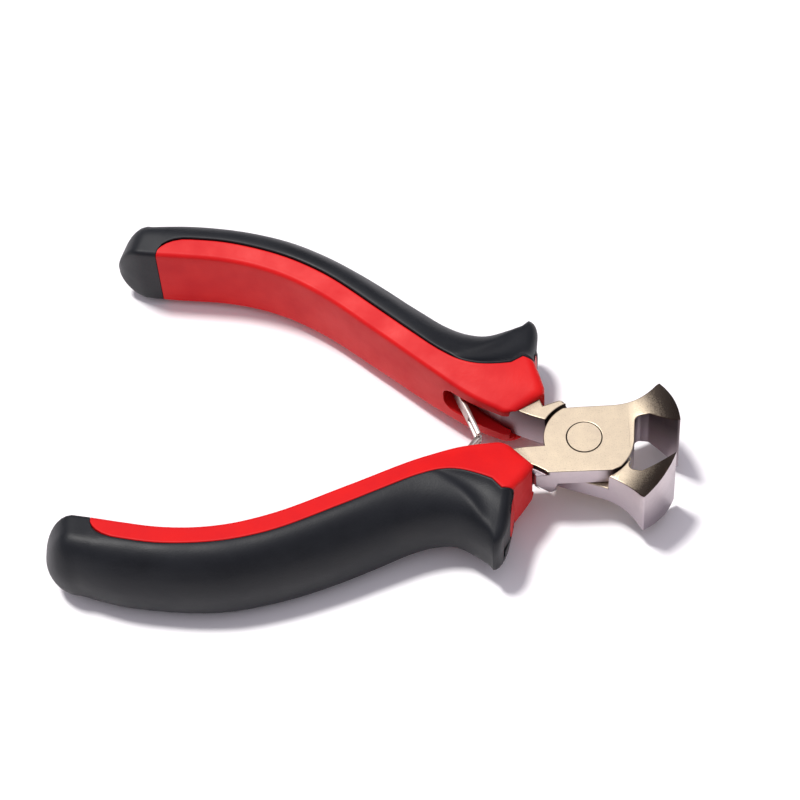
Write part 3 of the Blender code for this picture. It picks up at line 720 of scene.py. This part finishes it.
def build_grip(side, looks):
    mirror = Matrix.Diagonal((1, -1 if side == "a" else 1, 1, 1))
    sleeve_mesh = loft(sleeve_rings(), close_across, close_across)
    shell_mesh = loft(overmould_rings(), close_across, close_around)
    for bm in (sleeve_mesh, shell_mesh):
        bmesh.ops.transform(bm, matrix=mirror, verts=bm.verts)
    sleeve = new_object("hard_sleeve_" + side, sleeve_mesh)
    shell = new_object("soft_grip_" + side, shell_mesh)
    half = JOINT_HALF + ROOM_GAP
    cut(sleeve, new_object("room", prism(tang_room(ROOM_GAP), -half, half, mirror)))
    upright = mirror @ Matrix.Rotation(math.pi / 2, 4, "X")
    slot = new_object("slot", prism(slot_plan(), -9, 9, mirror))
    cut(slot, new_object("side", prism(slot_side(), -12, 3, upright)), "INTERSECT")
    cut(sleeve, slot)
    body = f"lever_{side}_body"
    finish_piece(sleeve, in_world(side), looks["sleeve"], body, "red_sleeve", "sleeve_" + side)
    finish_piece(shell, in_world(side), looks["overmould"], body, "black_overmould", "overmould_" + side)


# ---------------------------------------------------------------- materials
class Nodes:
    """A few calls that keep the node trees short."""

    def __init__(self, name):
        self.material = bpy.data.materials.new(name)
        self.material.use_nodes = True
        self.tree = self.material.node_tree
        self.shader = self.tree.nodes["Principled BSDF"]
        self.place = self.add("ShaderNodeTexCoord").outputs["Object"]

    def add(self, kind, **settings):
        node = self.tree.nodes.new(kind)
        for key, value in settings.items():
            setattr(node, key, value)
        return node

    def link(self, source, target):
        self.tree.links.new(source, target)

    def noise(self, size_mm, detail=3.0, rough=0.55, stretch=None):
        node = self.add("ShaderNodeTexNoise")
        node.inputs["Scale"].default_value = 1 / (size_mm * MM)
        node.inputs["Detail"].default_value = detail
        node.inputs["Roughness"].default_value = rough
        place = self.place
        if stretch:
            mapping = self.add("ShaderNodeMapping")
            mapping.inputs["Scale"].default_value = stretch
            self.link(place, mapping.inputs["Vector"])
            place = mapping.outputs["Vector"]
        self.link(place, node.inputs["Vector"])
        return node.outputs["Fac"]

    def ramp(self, value, low, high, start, end):
        node = self.add("ShaderNodeMapRange")
        for key, number in (("From Min", low), ("From Max", high), ("To Min", start), ("To Max", end)):
            node.inputs[key].default_value = number
        self.link(value, node.inputs["Value"])
        return node.outputs["Result"]

    def maths(self, operation, first, second=None):
        node = self.add("ShaderNodeMath", operation=operation)
        self.link(first, node.inputs[0])
        if isinstance(second, bpy.types.NodeSocket):
            self.link(second, node.inputs[1])
        elif second is not None:
            node.inputs[1].default_value = second
        return node.outputs[0]

    def product(self, *factors):
        result = factors[0]
        for factor in factors[1:]:
            result = self.maths("MULTIPLY", result, factor)
        return result

    def square(self, value, middle_mm):
        return self.maths("POWER", self.maths("ABSOLUTE", self.maths("SUBTRACT", value, middle_mm * MM)), 2.0)

    def split(self, vector):
        node = self.add("ShaderNodeSeparateXYZ")
        self.link(vector, node.inputs[0])
        return [node.outputs[axis] for axis in "XYZ"]

    def mix(self, value, first, second):
        node = self.add("ShaderNodeMix", data_type="RGBA")
        self.link(value, node.inputs[0])
        for socket, colour in ((node.inputs[6], first), (node.inputs[7], second)):
            if isinstance(colour, tuple):
                socket.default_value = (*colour, 1.0)
            else:
                self.link(colour, socket)
        return node.outputs[2]

    def bump(self, *layers):
        """Layers are (height, depth in millimetres)."""
        normal = None
        for height, depth in layers:
            node = self.add("ShaderNodeBump")
            node.inputs["Strength"].default_value = 1.0
            node.inputs["Distance"].default_value = depth * MM
            self.link(height, node.inputs["Height"])
            if normal:
                self.link(normal, node.inputs["Normal"])
            normal = node.outputs["Normal"]
        self.link(normal, self.shader.inputs["Normal"])

    def set(self, **values):
        for key, value in values.items():
            socket = self.shader.inputs[key.replace("_", " ")]
            if isinstance(value, bpy.types.NodeSocket):
                self.link(value, socket)
            else:
                socket.default_value = value


def plated_look():
    """Satin nickel, with painted shade and painted floor reflection on the walls, a painted dark reflection
    on the flares, and painted shade where the levers face each other, on the lap step and in the notch.
    """
    n = Nodes("satin_nickel")
    speck = n.noise(0.22, 4.0, 0.7)
    cloud = n.noise(3.5, 3.0, 0.6)
    x, y, z = n.split(n.place)
    facing = n.split(n.add("ShaderNodeNewGeometry").outputs["Normal"])
    shoulder = n.ramp(x, (PIVOT[0] - 5.2) * MM, (PIVOT[0] - 4.9) * MM, 1, 0)
    near = n.ramp(y, -5.4 * MM, -5.0 * MM, 1, 0)
    floor_height = (PIVOT[2] + NOTCH_FLOOR) * MM
    in_notch = n.product(shoulder, near, n.ramp(z, floor_height + 0.6 * MM, floor_height + 0.9 * MM, 1, 0))
    upright = n.maths("ABSOLUTE", facing[2])
    # steep faces take the painted-shade wall colours in place of the top's
    wall = n.maths("MAXIMUM", n.ramp(upright, 0.6, 0.3, 0, 1), in_notch)
    radius = n.maths("SQRT", n.maths("ADD", n.square(x, PIVOT[0]), n.square(y, 0)))
    warm = n.mix(n.ramp(cloud, 0.35, 0.7, 0, 1), *NICKEL)
    top = n.mix(n.ramp(speck, 0.45, 0.32, 0, 0.7), warm, NICKEL_SPECK)
    # painted dark reflection: the flares darken with distance from the pivot, with a speckled edge
    wander = n.maths("ADD", radius, n.ramp(speck, 0.3, 0.7, -1.3 * MM, 1.3 * MM))
    top = n.mix(n.ramp(wander, 10.4 * MM, 14.8 * MM, 0, 0.95), top, FLARE_PAINTED_REFLECTION)
    low, high = (PIVOT[2] - JOINT_HALF) * MM, (PIVOT[2] + JOINT_HALF) * MM
    height = n.ramp(z, low, high, 0, 1)
    # painted shade on the outer walls, darker towards their foot
    outside = n.mix(n.ramp(cloud, 0.3, 0.7, 0, 1), *OUTER_WALL_PAINTED_SHADE)
    outside = n.mix(height, OUTER_WALL_FOOT_PAINTED_SHADE, outside)
    # painted shade on the walls where the levers face each other, darker towards the top
    inside = n.mix(height, *FACING_WALL_PAINTED_SHADE)
    central = n.ramp(n.maths("ABSOLUTE", y), 6.0 * MM, 6.6 * MM, 1, 0)
    faced = n.product(central, n.ramp(radius, 16.3 * MM, 16.6 * MM, 1, 0))
    # painted shade on the lap step's wall and on the notch's walls
    behind = n.ramp(x, (PIVOT[0] - 2.2) * MM, (PIVOT[0] - 1.8) * MM, 1, 0)
    step = n.product(behind, n.ramp(facing[0], 0.4, 0.6, 0, 1), n.ramp(z, low, PIVOT[2] * MM, 0, 1))
    notch_wall = n.product(shoulder, near, n.ramp(z, floor_height + 0.1 * MM, floor_height + 0.2 * MM, 0, 1))
    dark = n.maths("MAXIMUM", step, notch_wall)
    shade = n.mix(dark, n.mix(faced, outside, inside), STEP_PAINTED_SHADE)
    # painted shade on the upward faces of the notch's floor
    shade = n.mix(n.product(in_notch, n.ramp(upright, 0.5, 0.8, 0, 1)), shade, NOTCH_PAINTED_SHADE)
    n.set(Base_Color=n.mix(wall, top, shade), Metallic=1.0, Roughness=n.ramp(speck, 0.3, 0.7, 0.46, 0.34))
    n.bump((n.noise(0.16, 3.0, 0.6), 0.012), (n.noise(1.4, 2.0), 0.008))
    return n.material


def spring_look():
    n = Nodes("bright_spring_steel")
    grain = n.noise(0.12, 3.0, 0.6, (1, 1, 6))
    n.set(
        Base_Color=n.mix(n.ramp(n.noise(1.2), 0.35, 0.7, 0, 1), *SPRING_STEEL),
        Metallic=1.0,
        Roughness=n.ramp(grain, 0.3, 0.7, 0.3, 0.46),
    )
    n.bump((grain, 0.006))
    return n.material


def sleeve_look():
    n = Nodes("satin_red_plastic")
    grain = n.noise(0.35, 3.0, 0.6)
    cloud = n.noise(6.0, 3.0, 0.55)
    colour = n.mix(n.ramp(cloud, 0.3, 0.7, 0, 1), *RED)
    n.set(
        Base_Color=colour,
        Roughness=n.ramp(cloud, 0.3, 0.7, 0.42, 0.54),
        Specular_IOR_Level=0.16,
    )
    n.bump((grain, 0.022), (n.noise(2.5, 2.0), 0.03))
    return n.material


def overmould_look():
    n = Nodes("black_soft_rubber")
    grain = n.noise(0.3, 3.0, 0.65)
    cloud = n.noise(9.0, 3.0, 0.6)
    dust = n.ramp(n.noise(0.5, 5.0, 0.75), 0.66, 0.8, 0, 1)
    colour = n.mix(n.ramp(cloud, 0.3, 0.7, 0, 1), *BLACK)
    colour = n.mix(dust, colour, DUST)
    n.set(Base_Color=colour, Roughness=n.ramp(cloud, 0.3, 0.7, 0.42, 0.55), Specular_IOR_Level=0.27)
    n.bump((grain, 0.03), (n.noise(4.0, 2.0), 0.05))
    return n.material


def floor_look():
    n = Nodes("white_table")
    n.set(Base_Color=TABLE, Roughness=0.9)
    n.bump((n.noise(0.8, 3.0), 0.01))
    return n.material


# ---------------------------------------------------------------- stage
def build_floor():
    half = FLOOR_HALF
    bm = bmesh.new()
    corners = ((-half, -half), (half, -half), (half, half), (-half, half))
    bm.faces.new([bm.verts.new((x, y, 0)) for x, y in corners])
    floor = new_object("table", bm)
    floor.data.materials.append(floor_look())


def build_camera():
    azimuth, elevation, roll = (
        math.radians(a) for a in (CAMERA_AZIMUTH, CAMERA_ELEVATION, CAMERA_ROLL)
    )
    back = Vector(
        (
            math.sin(azimuth) * math.cos(elevation),
            -math.cos(azimuth) * math.cos(elevation),
            math.sin(elevation),
        )
    )
    right = Vector((math.cos(azimuth), math.sin(azimuth), 0))
    up = back.cross(right)
    across = math.cos(roll) * right + math.sin(roll) * up
    above = math.cos(roll) * up - math.sin(roll) * right
    data = bpy.data.cameras.new("camera")
    data.lens = CAMERA_LENS
    data.sensor_width = SENSOR_WIDTH
    data.clip_start = 0.01
    camera = bpy.data.objects.new("camera", data)
    bpy.context.scene.collection.objects.link(camera)
    target = (Vector(PIVOT) + Vector(CAMERA_TARGET)) * MM
    matrix = Matrix((across, above, back)).transposed().to_4x4()
    matrix.translation = target + back * CAMERA_DISTANCE * MM
    camera.matrix_world = matrix
    bpy.context.scene.camera = camera


def build_lights():
    sun = bpy.data.lights.new("key", "SUN")
    sun.energy = SUN_STRENGTH
    sun.angle = math.radians(SUN_WIDTH)
    sun.color = SUN_COLOUR
    key = bpy.data.objects.new("key", sun)
    key.rotation_euler = (-Vector(SUN_FROM)).to_track_quat("-Z", "Y").to_euler()
    bpy.context.scene.collection.objects.link(key)
    world = bpy.data.worlds.new("studio")
    bpy.context.scene.world = world
    world.use_nodes = True
    tree = world.node_tree
    background = tree.nodes["Background"]
    coords = tree.nodes.new("ShaderNodeTexCoord")
    split = tree.nodes.new("ShaderNodeSeparateXYZ")
    ramp = tree.nodes.new("ShaderNodeValToRGB")
    tree.links.new(coords.outputs["Generated"], split.inputs[0])
    tree.links.new(split.outputs["Z"], ramp.inputs[0])
    tree.links.new(ramp.outputs[0], background.inputs[0])
    ramp.color_ramp.elements.new(0.5)
    for element, (height, value) in zip(ramp.color_ramp.elements, SKY_STOPS):
        element.position = height
        element.color = (*(value * tint for tint in SKY_TINT), 1)
    background.inputs[1].default_value = SKY_STRENGTH


def main():
    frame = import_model()
    bpy.context.scene.view_settings.view_transform = "Standard"
    looks = {
        "steel": plated_look(),
        "spring": spring_look(),
        "sleeve": sleeve_look(),
        "overmould": overmould_look(),
    }
    for side in ("a", "b"):
        build_lever(side, looks["steel"])
        build_leaf(side, looks["spring"])
        build_grip(side, looks)
        for name in ("leaf_foot_", "spring_rivet_"):
            node = frame["nodes"][name + side]
            node.data.materials.clear()
            node.data.materials.append(looks["spring"])
    rivet = new_object("rivet_flush", lathe(rivet_profile(0, 0.06)))
    world = Matrix.Translation(Vector(PIVOT) * MM) @ Matrix.Scale(MM, 4)
    finish_piece(rivet, world, looks["steel"], "lever_a_body", "plated_steel", "pivot_rivet")
    build_floor()
    build_camera()
    build_lights()


main()
